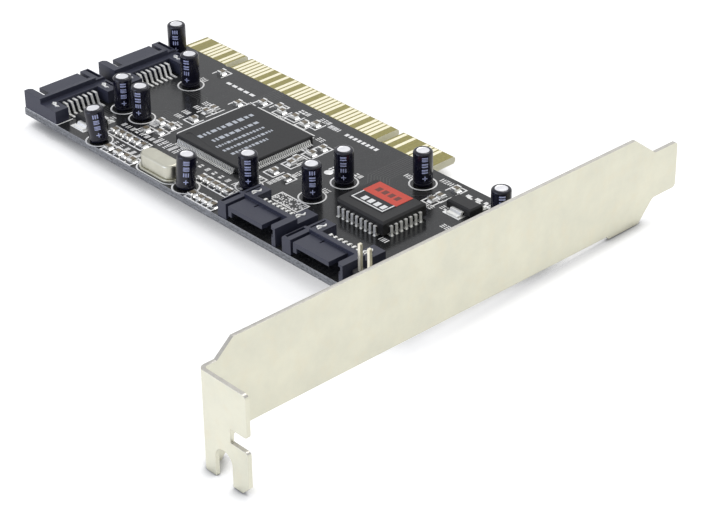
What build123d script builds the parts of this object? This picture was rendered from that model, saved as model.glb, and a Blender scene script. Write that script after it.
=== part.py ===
from build123d import *

import os
from math import cos, radians, sin

# Four-port storage controller card: a low board on a full-height slot bracket, in millimetres.
# The origin lies on the bracket's outer face, in line with the insertion edge of the finger strip and
# level with the component side of the board. +X runs along the bracket towards its tongue, +Y runs from
# the bracket along the board, and +Z points away from the component side.

# Board
board_thickness = 1.6
board_height = 50.2              # insertion edge to the opposite long edge
shoulder = 7.1                   # insertion edge to the long edge beside the finger strip
bracket_gap = 2.4                # board end to the bracket's inner face
edge_bevel = 0.45

# Finger strip, contacts counted from the bracket end
contact_count = 61
contact_pitch = 1.27
first_contact = 39.1             # bracket's outer face to the first contact's centre line
strip_lead_in = 0.95             # strip's near end to the first contact's centre line
strip_run_out = 1.12             # last contact's centre line to the board's far end
finger_width = 0.86
finger_length = 5.9
finger_setback = 0.6             # insertion edge to the finger tips
plating = 0.04
key_width = 1.91
key_depth = 6.9
key_contacts = ((12, 13), (50, 51))
unplated = (1, 2, 7, 8, 10, 14, 19, 25, 31, 36, 39, 41, 43, 54, 59, 60)

# Slot bracket
sheet = 0.86
bracket_length = 120.02
fold_to_edge = 96.85             # flange's outer face to the insertion edge
rise = 14.07                     # component side up to the bracket's top edge
drop = 4.35                      # component side down to the bracket's bottom edge
toe_drop = 5.0                   # the same, at the toe beside the tongue
toe_length = 8.5
toe_offset = 10.6                # toe's far corner to the tongue's tip
neck_length = 3.5
neck_slope = 3.7                 # run of the slopes beside the neck
shoulder_offset = 12.56          # top corner to the tongue's tip
tongue_root = 6.6                # root of the tongue to its tip
tongue_top = 9.37
tongue_width = 10.0
tongue_radius = 0.9
root_radius = 1.2
bend_radius = 0.5

# Flange with its screw slot and locating notch
flange_depth = 11.43
flange_top = 10.9
flange_bottom = 9.3
flange_radius = 1.0
flange_heel = 1.7
slot_width = 4.42
slot_offset = 5.0                # bracket's outer face to the slot's centre line
slot_depth = 6.25
notch_width = 2.85
notch_depth = 4.4
notch_height = 0.95              # component side up to the notch's centre line
notch_radius = 0.7

# Angle tabs and their screws
tab_width = 8.0
tab_reach = 8.2
tab_height = 7.0
tab_sheet = 1.0
tab_near_inset = 5.9             # shoulder edge to the first tab's centre line
tab_far_inset = 5.2              # long edge to the second tab's centre line
screw_reach = 5.4                # bracket's inner face to the screw's axis
screw_radius = 1.5
screw_clearance = 0.15
screw_head_radius = 2.8
screw_head_height = 1.7
screw_tip = 0.8                  # length that shows past the tab
driver_slot_width = 0.7
driver_slot_depth = 0.8

# Socket housings, drawn across their mouth from left to right, then back from the mouth
socket_width = 17.0
socket_depth = 10.9
ledge_height = 2.85
wall_height = 4.0
left_guide_width = 2.5
left_guide_height = 3.45
left_guide_wall = 0.55
left_guide_slot = (0.7, 4.6, 0.9)
left_guide_slot_inset = 0.4      # mouth to the slot's near end
left_guide_bevel = 0.4
rear_slot = (0.4, 3.8, 0.9)       # in the left wing, in line with the guide's slot
rear_slot_front = 6.6
right_guide_width = 1.75
right_guide_lead_in = 0.65
right_guide_wall = 0.65
guide_groove_floor = 1.9
guide_groove_height = 1.6
bulkhead_front = 4.7
bulkhead_thickness = 1.0
core_back = 7.2
core_margins = (0.15, 0.45)       # tongue plate's sides to the wings beside it
tongue_plate_offset = 3.2        # housing's left side to the tongue plate
tongue_plate_width = 10.0
tongue_plate_thickness = 1.0
tongue_plate_height = 3.3
tongue_plate_bevel = 0.25
key_leg_width = 1.0
key_leg_height = 1.2
plate_groove_offset = 6.9        # housing's left side to the groove at the root of the plate
plate_groove = (0.35, 1.2, 0.3)
socket_contact_count = 7
socket_contact_pitch = 1.27
socket_contact_width = 0.5
socket_contact_thickness = 0.18
socket_contact_clearance = 0.24  # key leg to the first contact
socket_contact_inset = 0.5       # mouth to the contacts' tips
socket_knee = 8.6
socket_heel = 9.4
socket_toe = 11.2
lock_inset = 2.05                # housing's side to the middle of its board lock
lock_thickness = 0.4
lock_length = 2.3
lock_front = 7.1
lock_proud = 0.25
lock_tail = 0.9                  # length that shows past the solder side
mouth_inset = 0.1                # board's edge to the mouths of its sockets
end_socket_margin = 0.15         # long edge to the nearer of the sockets on the far end
end_socket_gap = 2.45
side_socket_left = 52.7          # bracket's outer face to the left side of the first socket there
side_socket_gap = 1.9

# Electrolytic capacitors: offset from the insertion edge, from the bracket face, lean in degrees
inner_capacitors = (
    (18.3, 100.2, 0.0), (35.3, 101.5, 0.0), (35.3, 95.4, 0.0), (47.8, 93.6, 6.5),
    (47.5, 65.8, -4.3), (38.2, 57.4, 0.0), (32.1, 45.5, 0.0), (23.6, 45.5, 0.0), (12.7, 34.4, 0.0),
    (12.6, 13.0, 0.0),
)
corner_capacitor_gap = 0.7       # last socket on the far end to the capacitor in the corner
corner_capacitor_inset = 2.52    # board's far end to its axis
lean_direction = 138.0           # heading in which a positive lean tips the top
capacitor_radius = 2.0
capacitor_height = 7.3
capacitor_standoff = 0.25
capacitor_lead_spacing = 1.5

# Controller, a square flat pack with gull-wing leads on four sides
controller_offset = 26.6
controller_reach = 72.6
controller_size = 20.0
controller_thickness = 1.4
controller_standoff = 0.1
controller_bevel = 0.2
controller_side_lead_count = 36
controller_lead_pitch = 0.5
controller_lead_width = 0.22
controller_lead_thickness = 0.13
controller_lead_exit = 0.86      # board to the top of the leads where they leave the body
controller_lead_knee = 0.3
controller_lead_heel = 0.52
controller_lead_toe = 1.0
pin_mark_radius = 0.7
pin_mark_inset = 2.0
pin_mark_depth = 0.1

# Memory chip, a rectangular carrier with leads rolled under it
memory_offset = 27.4
memory_reach = 31.1
memory_width = 11.43
memory_length = 13.97
memory_bottom = 0.5
memory_top = 3.3
memory_bevel = 0.45
memory_corner = 1.1
memory_lead_pitch = 1.27
memory_lead_counts = (7, 9)      # on each short side, on each long side
memory_lead_width = 0.6
memory_lead_thickness = 0.2
memory_lead_exit = 2.1
memory_lead_reach = 0.5
memory_lead_tuck = 0.6
label_width = 8.2
label_length = 9.4
label_thickness = 0.08
label_shift = (0.9, 0.6)

# Crystal
crystal_offset = 47.2
crystal_reach = 74.2
crystal_base_length = 11.05
crystal_base_width = 4.65
crystal_base_height = 0.55
crystal_can_length = 10.2
crystal_can_width = 3.8
crystal_height = 3.5
crystal_can_bevel = 0.35
crystal_lead_spacing = 4.88

# Regulators, each with a tab on one side and three leads on the other
regulator_places = ((14.0, 21.4), (44.3, 100.8))
regulator_width = 3.5
regulator_length = 6.5
regulator_height = 1.6
regulator_bevel = 0.35
regulator_standoff = 0.08
regulator_foot = 1.75
regulator_knee = 0.7
regulator_exit = 0.75
regulator_metal = 0.26
regulator_tab_width = 3.0
regulator_lead_width = 0.72
regulator_lead_pitch = 2.3

# Jumper header
header_offset = 47.1
header_gap = 0.35                # last socket to the header's base
header_pitch = 2.54
header_pin_count = 2
header_pin_size = 0.64
header_pin_height = 8.4
header_pin_point = 0.15
header_base_corner = 0.5

# Chip capacitors: offset from the insertion edge, from the bracket face, turn in degrees
chip_length = 1.9
chip_width = 1.15
chip_height = 0.8
chip_terminal = 0.42
chip_terminal_wrap = 0.04
chip_rows = (
    # offset, then the place of each chip along the row
    (43.0, (94.5, 92.2, 90.0, 87.6, 85.1, 66.1, 64.0, 62.0, 60.2, 58.0)),
    (48.5, (89.5, 86.3, 83.6, 81.6, 62.3, 59.9, 58.0, 55.9)),
)
single_chips = (
    (9.9, 99.9, 0), (16.9, 86.2, 0), (12.8, 83.0, 0), (11.6, 79.0, 0), (12.6, 77.0, 0), (12.3, 73.3, 0),
    (13.0, 69.5, 0), (11.4, 67.7, 0), (22.0, 87.8, 90), (24.0, 87.9, 90), (28.1, 87.2, 0),
    (33.9, 91.0, 0), (33.6, 87.9, 0), (36.9, 87.5, 0), (38.2, 90.4, 0), (17.5, 58.8, 0),
    (20.5, 58.7, 0), (24.1, 59.0, 90), (26.1, 58.5, 90), (30.9, 58.4, 0), (31.0, 54.5, 0),
    (35.5, 58.3, 90), (10.0, 27.8, 0), (16.2, 28.1, 90), (14.1, 27.9, 90),
)

# Through-hole leads
lead_tail = 1.0                  # length that shows past the solder side
lead_radius = 0.27
lead_side_count = 6              # thin round leads and their holes are drawn with few sides
pin_hole_clearance = 0.05
pin_hole_side_count = 8

# Planes and lengths that follow from the sizes above
last_contact = first_contact + (contact_count - 1) * contact_pitch
board_start = sheet + bracket_gap
board_end = last_contact + strip_run_out
flange_face = -fold_to_edge
tongue_tip = flange_face + bracket_length
underside = -board_thickness
controller_extent = controller_size / 2
controller_center = (-controller_offset, controller_reach)
memory_center = (-memory_offset, memory_reach)
label_center = (memory_center[0] + label_shift[0], memory_center[1] + label_shift[1])
crystal_center = (-crystal_offset, crystal_reach)
bulkhead_back = bulkhead_front + bulkhead_thickness
tab_offsets = (shoulder + tab_near_inset, board_height - tab_far_inset)
screw_places = [(-offset, sheet + screw_reach) for offset in tab_offsets]
crystal_lead_places = [
    (crystal_center[0], crystal_center[1] + side * crystal_lead_spacing / 2) for side in (-1, 1)
]
end_mouth = board_end - mouth_inset
side_mouth = -board_height + mouth_inset
end_socket_left = board_height - end_socket_margin - socket_width
end_socket_lefts = (end_socket_left, end_socket_left - end_socket_gap - socket_width)
side_socket_lefts = (side_socket_left, side_socket_left - side_socket_gap - socket_width)
socket_planes = [
    Plane(origin=(-left, end_mouth, 0), x_dir=(-1, 0, 0), z_dir=(0, 0, 1)) for left in end_socket_lefts
] + [
    Plane(origin=(side_mouth, left, 0), x_dir=(0, -1, 0), z_dir=(0, 0, 1)) for left in side_socket_lefts
]
corner_capacitor = (
    end_socket_lefts[-1] - corner_capacitor_gap - capacitor_radius, board_end - corner_capacitor_inset, 0.0
)
capacitor_places = (corner_capacitor, *inner_capacitors)
capacitor_lead_places = [
    (-offset + side * capacitor_lead_spacing / 2, reach)
    for offset, reach, _ in capacitor_places
    for side in (-1, 1)
]
header_first = side_socket_lefts[-1] - socket_width - header_gap - header_pitch / 2
header_pin_places = [(-header_offset, header_first - n * header_pitch) for n in range(header_pin_count)]
core_left = tongue_plate_offset + core_margins[0]
core_right = tongue_plate_offset + tongue_plate_width + core_margins[1]
contact_top = tongue_plate_height - tongue_plate_thickness
leg_right = tongue_plate_offset + key_leg_width
first_step = leg_right + socket_contact_clearance + socket_contact_width / 2
contact_steps = [first_step + n * socket_contact_pitch for n in range(socket_contact_count)]
lock_steps = (lock_inset, socket_width - lock_inset)
chip_places = [Location((-offset, reach, 0)) for offset, row in chip_rows for reach in row] + [
    Location((-offset, reach, 0), (0, 0, turn)) for offset, reach, turn in single_chips
]


def contact_line(number):
    """Distance of a numbered contact's centre line from the bracket's outer face."""
    return first_contact + (number - 1) * contact_pitch


def write(part, label):
    part.label = label
    export_step(part, f"parts/{label}.step")


os.makedirs("parts", exist_ok=True)

# Board: body, finger strip with its two keys, beveled insertion edge, and the holes for leads and screws
with BuildPart() as circuit_board:
    with BuildSketch(Plane.XY.offset(underside)):
        with Locations((-board_height, board_start)):
            Rectangle(board_height - shoulder, board_end - board_start, align=(Align.MIN, Align.MIN))
        with Locations((-shoulder, first_contact - strip_lead_in)):
            Rectangle(shoulder, board_end - first_contact + strip_lead_in, align=(Align.MIN, Align.MIN))
        for pair in key_contacts:
            key_line = (contact_line(pair[0]) + contact_line(pair[1])) / 2
            with Locations((-key_depth + key_width / 2, key_line)):
                Circle(key_width / 2, mode=Mode.SUBTRACT)
                Rectangle(key_depth, key_width, align=(Align.MIN, Align.CENTER), mode=Mode.SUBTRACT)
    extrude(amount=board_thickness)
    insertion_edges = circuit_board.faces().sort_by(Axis.X)[-3:].edges().filter_by(Axis.Y)
    chamfer(insertion_edges, length=edge_bevel)
    with Locations(*[(x, y, 0) for x, y in screw_places]):
        Hole(screw_radius + screw_clearance)
    with BuildSketch(Plane.XY.offset(underside)):
        with Locations(*(capacitor_lead_places + crystal_lead_places)):
            RegularPolygon(lead_radius, lead_side_count)
        with Locations(*header_pin_places):
            RegularPolygon(header_pin_size / 2 * 2**0.5 + pin_hole_clearance, pin_hole_side_count)
    extrude(amount=board_thickness, mode=Mode.SUBTRACT)
    for plane in socket_planes:
        with BuildSketch(plane.offset(underside)):
            with Locations(*[(step, lock_front) for step in lock_steps]):
                Rectangle(lock_thickness, lock_length, align=(Align.CENTER, Align.MIN))
        extrude(amount=board_thickness, mode=Mode.SUBTRACT)
write(circuit_board.part, "circuit_board")

# Plated fingers on both faces of the strip, with the unused contacts left off the component side
finger_center = -finger_setback - finger_length / 2
keyed = [number for pair in key_contacts for number in pair]
component_contacts = [n for n in range(1, contact_count + 1) if n not in unplated and n not in keyed]
solder_contacts = [n for n in range(1, contact_count + 1) if n not in keyed]
with BuildPart() as component_fingers:
    with Locations(*[(finger_center, contact_line(n), 0) for n in component_contacts]):
        Box(finger_length, finger_width, plating, align=(Align.CENTER, Align.CENTER, Align.MIN))
write(component_fingers.part, "contact_fingers_component_side")

with BuildPart() as solder_fingers:
    with Locations(*[(finger_center, contact_line(n), underside) for n in solder_contacts]):
        Box(finger_length, finger_width, plating, align=(Align.CENTER, Align.CENTER, Align.MAX))
write(solder_fingers.part, "contact_fingers_solder_side")

# Slot bracket: one sheet with its flange folded outwards
with BuildPart() as mounting_bracket:
    with BuildSketch(Plane.XZ.offset(-sheet)):
        with BuildLine():
            toe_corner = tongue_tip - toe_offset
            tongue_bottom = tongue_top - tongue_width
            Polyline(
                (flange_face, -flange_bottom),
                (flange_face, flange_top),
                (flange_face + neck_length, flange_top),
                (flange_face + neck_length + neck_slope, rise),
                (tongue_tip - shoulder_offset, rise),
                (tongue_tip - tongue_root, tongue_top),
                (tongue_tip, tongue_top),
                (tongue_tip, tongue_bottom),
                (tongue_tip - tongue_root, tongue_bottom),
                (toe_corner, -toe_drop),
                (toe_corner - toe_length, -toe_drop),
                (toe_corner - toe_length - (toe_drop - drop), -drop),
                (flange_face + neck_length + neck_slope, -drop),
                (flange_face + neck_length, -flange_bottom),
                close=True,
            )
        make_face()
        fillet(vertices().group_by(Axis.X)[-1], tongue_radius)
        root_corners = vertices().filter_by_position(
            Axis.X, tongue_tip - tongue_root - sheet / 4, tongue_tip - tongue_root + sheet / 4
        )
        fillet(root_corners, root_radius)
    extrude(amount=sheet)
    with BuildSketch(Plane.YZ.offset(flange_face)):
        with Locations((sheet, (flange_top - flange_bottom) / 2)):
            Rectangle(flange_depth + sheet, flange_top + flange_bottom, align=(Align.MAX, Align.CENTER))
        outer_corners = vertices().group_by(Axis.X)[0].sort_by(Axis.Y)
        fillet(outer_corners[-1], flange_radius)
        heel_corner = vertices().group_by(Axis.X)[0].sort_by(Axis.Y)[0]
        chamfer(heel_corner, flange_heel)
        with Locations((-flange_depth, notch_height)):
            Rectangle(notch_depth, notch_width, align=(Align.MIN, Align.CENTER), mode=Mode.SUBTRACT)
        notch_mouth = vertices().group_by(Axis.X)[0].sort_by(Axis.Y)[1:3]
        fillet(notch_mouth, notch_radius)
        slot_top = -flange_bottom + slot_depth - slot_width / 2
        with Locations((-slot_offset, slot_top)):
            Circle(slot_width / 2, mode=Mode.SUBTRACT)
            Rectangle(slot_width, slot_depth, align=(Align.CENTER, Align.MAX), mode=Mode.SUBTRACT)
    extrude(amount=sheet)
    fold_edges = mounting_bracket.edges().filter_by(Axis.Z)
    outer_fold = fold_edges.filter_by_position(Axis.X, flange_face, flange_face).sort_by(Axis.Y)[-1]
    inner_fold = fold_edges.filter_by_position(
        Axis.X, flange_face + sheet * 0.9, flange_face + sheet * 1.1
    ).filter_by_position(Axis.Y, 0, 0)
    fillet(outer_fold, bend_radius + sheet)
    fillet(inner_fold, bend_radius)
write(mounting_bracket.part, "mounting_bracket")

# Angle tabs that carry the board on the bracket
tab_bend = tab_sheet * 1.3


def angle_tab(place, label):
    with BuildPart() as tab:
        with BuildSketch(Plane.YZ.offset(place[0] - tab_width / 2)):
            with BuildLine():
                Polyline(
                    (sheet, 0),
                    (sheet, tab_height),
                    (sheet + tab_sheet, tab_height),
                    (sheet + tab_sheet, tab_sheet),
                    (sheet + tab_reach, tab_sheet),
                    (sheet + tab_reach, 0),
                    close=True,
                )
            make_face()
            fillet(vertices().sort_by_distance((sheet, 0))[0], tab_bend)
        extrude(amount=tab_width)
        free_corners = tab.edges().filter_by(Axis.Z).group_by(Axis.Y)[-1]
        chamfer(free_corners, length=tab_sheet)
        with Locations((place[0], place[1], tab_sheet)):
            Hole(screw_radius)
    write(tab.part, label)


for number, place in enumerate(screw_places, start=1):
    angle_tab(place, f"angle_tab_{number}")

# Screws from the solder side, through the board and the tabs
with BuildPart() as bracket_screws:
    with BuildSketch(Plane.XY.offset(underside)):
        with Locations(*screw_places):
            Circle(screw_head_radius)
    extrude(amount=-screw_head_height)
    with BuildSketch(Plane.XY.offset(underside)):
        with Locations(*screw_places):
            Circle(screw_radius)
    extrude(amount=board_thickness + tab_sheet + screw_tip)
    with BuildSketch(Plane.XY.offset(underside - screw_head_height)):
        with Locations(*screw_places):
            Rectangle(2 * screw_head_radius, driver_slot_width)
    extrude(amount=driver_slot_depth, mode=Mode.SUBTRACT)
write(bracket_screws.part, "bracket_screws")

# Socket housings: each a bulkhead with a keyed tongue plate, a guide at each side and a wing behind each


def socket_housing(plane, label):
    mouth = Plane(origin=plane.origin, x_dir=plane.x_dir, z_dir=-plane.y_dir)
    with BuildPart() as housing:
        # Rear ledge, seen from above
        with BuildSketch(plane):
            with BuildLine():
                Polyline(
                    (0, bulkhead_back),
                    (socket_width, bulkhead_back),
                    (socket_width, socket_depth),
                    (core_right, socket_depth),
                    (core_right, core_back),
                    (core_left, core_back),
                    (core_left, socket_depth),
                    (0, socket_depth),
                    close=True,
                )
            make_face()
        extrude(amount=ledge_height)
        # Bulkhead
        with BuildSketch(mouth.offset(-bulkhead_front)):
            with Locations((left_guide_width, 0)):
                bulkhead_width = socket_width - left_guide_width
                Rectangle(bulkhead_width, wall_height, align=(Align.MIN, Align.MIN))
        extrude(amount=-bulkhead_thickness)
        # Left guide, with a pocket along its top
        with BuildSketch(mouth):
            Rectangle(left_guide_width, left_guide_height, align=(Align.MIN, Align.MIN))
            outer_corner = vertices().group_by(Axis.Y)[-1].sort_by(Axis.X)[0]
            chamfer(outer_corner, left_guide_bevel)
        extrude(amount=-bulkhead_back)
        # Right guide, grooved along its inner side
        with BuildSketch(mouth):
            with Locations((socket_width, 0)):
                Rectangle(right_guide_width, wall_height, align=(Align.MAX, Align.MIN))
            with Locations((socket_width - right_guide_wall, guide_groove_floor)):
                Rectangle(
                    right_guide_width, guide_groove_height, align=(Align.MAX, Align.MIN), mode=Mode.SUBTRACT
                )
        extrude(amount=-bulkhead_front)
        with BuildSketch(plane):
            with BuildLine():
                guide_left = socket_width - right_guide_width
                Polyline(
                    (guide_left, 0),
                    (guide_left + right_guide_lead_in, 0),
                    (guide_left, right_guide_lead_in),
                    close=True,
                )
            make_face()
        extrude(amount=wall_height, mode=Mode.SUBTRACT)
        # Tongue plate with its key leg
        with BuildSketch(mouth):
            with BuildLine():
                leg_foot = contact_top - key_leg_height
                plate_right = tongue_plate_offset + tongue_plate_width
                Polyline(
                    (tongue_plate_offset, leg_foot),
                    (tongue_plate_offset, tongue_plate_height),
                    (plate_right, tongue_plate_height),
                    (plate_right, contact_top),
                    (leg_right, contact_top),
                    (leg_right, leg_foot),
                    close=True,
                )
            make_face()
        extrude(amount=-bulkhead_front)
        # Slots in the left guide and wing, groove in the plate, slots for the contacts and the board locks
        for top, front, size in (
            (left_guide_height, left_guide_slot_inset, left_guide_slot),
            (ledge_height, rear_slot_front, rear_slot),
        ):
            slot_across, slot_back, slot_down = size
            with BuildSketch(plane.offset(top)):
                with Locations((left_guide_wall, front)):
                    Rectangle(slot_across, slot_back, align=(Align.MIN, Align.MIN))
            extrude(amount=-slot_down, mode=Mode.SUBTRACT)
        groove_across, groove_back, groove_down = plate_groove
        with BuildSketch(plane.offset(tongue_plate_height)):
            with Locations((plate_groove_offset, bulkhead_front)):
                Rectangle(groove_across, groove_back, align=(Align.CENTER, Align.MAX))
        extrude(amount=-groove_down, mode=Mode.SUBTRACT)
        with BuildSketch(mouth.offset(-bulkhead_front)):
            with Locations(*[(step, contact_top) for step in contact_steps]):
                slot_align = (Align.CENTER, Align.MAX)
                Rectangle(socket_contact_width, socket_contact_thickness, align=slot_align)
        extrude(amount=-(core_back - bulkhead_front), mode=Mode.SUBTRACT)
        with BuildSketch(plane):
            with Locations(*[(step, lock_front) for step in lock_steps]):
                Rectangle(lock_thickness, lock_length, align=(Align.CENTER, Align.MIN))
        extrude(amount=ledge_height, mode=Mode.SUBTRACT)
    write(housing.part, label)


def socket_contact_row(plane, label):
    with BuildPart() as contacts:
        for step in contact_steps:
            side_plane = Plane(
                origin=plane.from_local_coords((step - socket_contact_width / 2, 0, 0)),
                x_dir=plane.y_dir,
                z_dir=plane.x_dir,
            )
            with BuildSketch(side_plane):
                with BuildLine():
                    metal = socket_contact_thickness
                    Polyline(
                        (socket_contact_inset, contact_top - metal),
                        (socket_contact_inset, contact_top),
                        (socket_knee, contact_top),
                        (socket_heel, metal),
                        (socket_toe, metal),
                        (socket_toe, 0),
                        (socket_heel - metal, 0),
                        (socket_knee - metal, contact_top - metal),
                        close=True,
                    )
                make_face()
            extrude(amount=socket_contact_width)
    write(contacts.part, label)


for number, plane in enumerate(socket_planes, start=1):
    socket_housing(plane, f"socket_housing_{number}")
    socket_contact_row(plane, f"socket_contacts_{number}")

# Board locks, soldered through the board behind each socket's guides
lock_height = ledge_height + lock_proud + board_thickness + lock_tail
with BuildPart() as board_locks:
    for plane in socket_planes:
        with BuildSketch(plane.offset(underside - lock_tail)):
            with Locations(*[(step, lock_front) for step in lock_steps]):
                Rectangle(lock_thickness, lock_length, align=(Align.CENTER, Align.MIN))
        extrude(amount=lock_height)
write(board_locks.part, "board_locks")

# Electrolytic capacitors: sleeved cans, some of them leaning on their leads
capacitor_planes = [
    Plane(
        origin=(-offset, reach, capacitor_standoff),
        z_dir=(
            sin(radians(lean)) * cos(radians(lean_direction)),
            sin(radians(lean)) * sin(radians(lean_direction)),
            cos(radians(lean)),
        ),
    )
    for offset, reach, lean in capacitor_places
]
with BuildPart() as capacitors:
    for plane in capacitor_planes:
        with BuildSketch(plane):
            Circle(capacitor_radius)
        extrude(amount=capacitor_height)
write(capacitors.part, "capacitors")

with BuildPart() as capacitor_leads:
    with BuildSketch(Plane.XY.offset(underside - lead_tail)):
        with Locations(*capacitor_lead_places):
            RegularPolygon(lead_radius, lead_side_count)
    extrude(amount=lead_tail + board_thickness + 2 * capacitor_standoff)
    add(capacitors.part, mode=Mode.SUBTRACT)
write(capacitor_leads.part, "capacitor_leads")

# Controller body with a dimple at its first lead
with BuildPart() as controller_body:
    with BuildSketch(Plane.XY.offset(controller_standoff)):
        with Locations(controller_center):
            Rectangle(controller_size, controller_size)
            chamfer(vertices(), controller_bevel)
    extrude(amount=controller_thickness)
    top_rim = controller_body.faces().sort_by(Axis.Z)[-1].edges()
    chamfer(top_rim, length=controller_bevel)
    controller_top = controller_standoff + controller_thickness
    dimple_reach = controller_extent - pin_mark_inset
    with BuildSketch(Plane.XY.offset(controller_top)):
        with Locations((controller_center[0] - dimple_reach, controller_center[1] + dimple_reach)):
            Circle(pin_mark_radius)
    extrude(amount=-pin_mark_depth, mode=Mode.SUBTRACT)
write(controller_body.part, "controller_body")


def gull_wing(exit_height, knee, heel, toe, metal, width):
    """Lead in its own frame: it leaves a body at x = 0 and steps down to a foot on the board."""
    with BuildPart() as lead:
        with BuildSketch(Plane.XZ):
            with BuildLine():
                Polyline(
                    (0, exit_height - metal),
                    (0, exit_height),
                    (knee, exit_height),
                    (heel, metal),
                    (toe, metal),
                    (toe, 0),
                    (heel - metal, 0),
                    close=True,
                )
            make_face()
        extrude(amount=width / 2, both=True)
    return lead.part


def lead_places(center, extent, turn, count, pitch):
    """Places along one side of a chip, whose leads point along the heading that turn gives."""
    side = Location((center[0], center[1], 0), (0, 0, turn))
    return [side * Location((extent, (n - (count - 1) / 2) * pitch, 0)) for n in range(count)]


controller_lead = gull_wing(
    controller_lead_exit,
    controller_lead_knee,
    controller_lead_heel,
    controller_lead_toe,
    controller_lead_thickness,
    controller_lead_width,
)
with BuildPart() as controller_leads:
    for turn in (0, 90, 180, 270):
        side_places = lead_places(
            controller_center, controller_extent, turn, controller_side_lead_count, controller_lead_pitch
        )
        with Locations(*side_places):
            add(controller_lead)
write(controller_leads.part, "controller_leads")

# Memory chip: carrier with a cut corner, leads rolled under it, and a label
with BuildPart() as memory_body:
    with BuildSketch(Plane.XY.offset(memory_bottom)):
        with Locations(memory_center):
            Rectangle(memory_width, memory_length)
        first_corner = vertices().group_by(Axis.X)[0].sort_by(Axis.Y)[-1]
        chamfer(first_corner, memory_corner)
    extrude(amount=memory_top - memory_bottom)
    chamfer(memory_body.faces().sort_by(Axis.Z)[-1].edges(), length=memory_bevel)
write(memory_body.part, "memory_body")

with BuildPart() as rolled_lead:
    with BuildSketch(Plane.XZ):
        with BuildLine():
            inner_reach = memory_lead_reach - memory_lead_thickness
            Polyline(
                (0, memory_lead_exit - memory_lead_thickness),
                (0, memory_lead_exit),
                (memory_lead_reach, memory_lead_exit),
                (memory_lead_reach, 0),
                (-memory_lead_tuck, 0),
                (-memory_lead_tuck, memory_lead_thickness),
                (inner_reach, memory_lead_thickness),
                (inner_reach, memory_lead_exit - memory_lead_thickness),
                close=True,
            )
        make_face()
    extrude(amount=memory_lead_width / 2, both=True)

with BuildPart() as memory_leads:
    for turn, extent, count in (
        (0, memory_width / 2, memory_lead_counts[1]),
        (90, memory_length / 2, memory_lead_counts[0]),
        (180, memory_width / 2, memory_lead_counts[1]),
        (270, memory_length / 2, memory_lead_counts[0]),
    ):
        with Locations(*lead_places(memory_center, extent, turn, count, memory_lead_pitch)):
            add(rolled_lead.part)
write(memory_leads.part, "memory_leads")

with BuildPart() as memory_label:
    with BuildSketch(Plane.XY.offset(memory_top)):
        with Locations(label_center):
            Rectangle(label_width, label_length)
    extrude(amount=label_thickness)
write(memory_label.part, "memory_label")

# Crystal: base flange, can and leads
with BuildPart() as crystal_base:
    with BuildSketch(Plane.XY):
        with Locations(crystal_center):
            SlotOverall(crystal_base_length, crystal_base_width, rotation=90)
    extrude(amount=crystal_base_height)
write(crystal_base.part, "crystal_base")

with BuildPart() as crystal_can:
    with BuildSketch(Plane.XY.offset(crystal_base_height)):
        with Locations(crystal_center):
            SlotOverall(crystal_can_length, crystal_can_width, rotation=90)
    extrude(amount=crystal_height - crystal_base_height)
    chamfer(crystal_can.faces().sort_by(Axis.Z)[-1].edges(), length=crystal_can_bevel)
write(crystal_can.part, "crystal_can")

with BuildPart() as crystal_leads:
    with BuildSketch(Plane.XY.offset(underside - lead_tail)):
        with Locations(*crystal_lead_places):
            RegularPolygon(lead_radius, lead_side_count)
    extrude(amount=lead_tail + board_thickness)
write(crystal_leads.part, "crystal_leads")

# Regulators: body, one wide tab and three leads each
regulator_centers = [(-offset, reach) for offset, reach in regulator_places]
with BuildPart() as regulator_bodies:
    with BuildSketch(Plane.XY.offset(regulator_standoff)):
        with Locations(*regulator_centers):
            Rectangle(regulator_width, regulator_length)
    extrude(amount=regulator_height)
    chamfer(regulator_bodies.faces().group_by(Axis.Z)[-1].edges(), length=regulator_bevel)
write(regulator_bodies.part, "regulator_bodies")

regulator_heel = regulator_knee + regulator_metal
regulator_bend = (regulator_exit, regulator_knee, regulator_heel, regulator_foot, regulator_metal)
regulator_tab = gull_wing(*regulator_bend, regulator_tab_width)
with BuildPart() as regulator_tabs:
    for center in regulator_centers:
        with Locations(*lead_places(center, regulator_width / 2, 180, 1, regulator_lead_pitch)):
            add(regulator_tab)
write(regulator_tabs.part, "regulator_tabs")

regulator_lead = gull_wing(*regulator_bend, regulator_lead_width)
with BuildPart() as regulator_leads:
    for center in regulator_centers:
        with Locations(*lead_places(center, regulator_width / 2, 0, 3, regulator_lead_pitch)):
            add(regulator_lead)
write(regulator_leads.part, "regulator_leads")

# Jumper header
with BuildSketch() as header_cell:
    Rectangle(header_pitch, header_pitch)
    chamfer(header_cell.vertices(), header_base_corner)

with BuildPart() as header_base:
    with BuildSketch(Plane.XY):
        with Locations(*header_pin_places):
            add(header_cell.sketch)
        with Locations(*header_pin_places):
            Rectangle(header_pin_size, header_pin_size, mode=Mode.SUBTRACT)
    extrude(amount=header_pitch)
write(header_base.part, "header_base")

with BuildPart() as header_posts:
    with BuildSketch(Plane.XY.offset(underside - lead_tail)):
        with Locations(*header_pin_places):
            Rectangle(header_pin_size, header_pin_size)
    extrude(amount=lead_tail + board_thickness + header_pin_height)
    chamfer(header_posts.faces().group_by(Axis.Z)[-1].edges(), length=header_pin_point)
write(header_posts.part, "header_pins")

# Chip capacitors and resistors: a body between two end caps
chip_core_length = chip_length - 2 * chip_terminal
with BuildPart() as chip_bodies:
    with Locations(*chip_places):
        with Locations((0, 0, chip_height / 2)):
            Box(chip_core_length, chip_width - 2 * chip_terminal_wrap, chip_height - 2 * chip_terminal_wrap)
write(chip_bodies.part, "chip_bodies")

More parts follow.
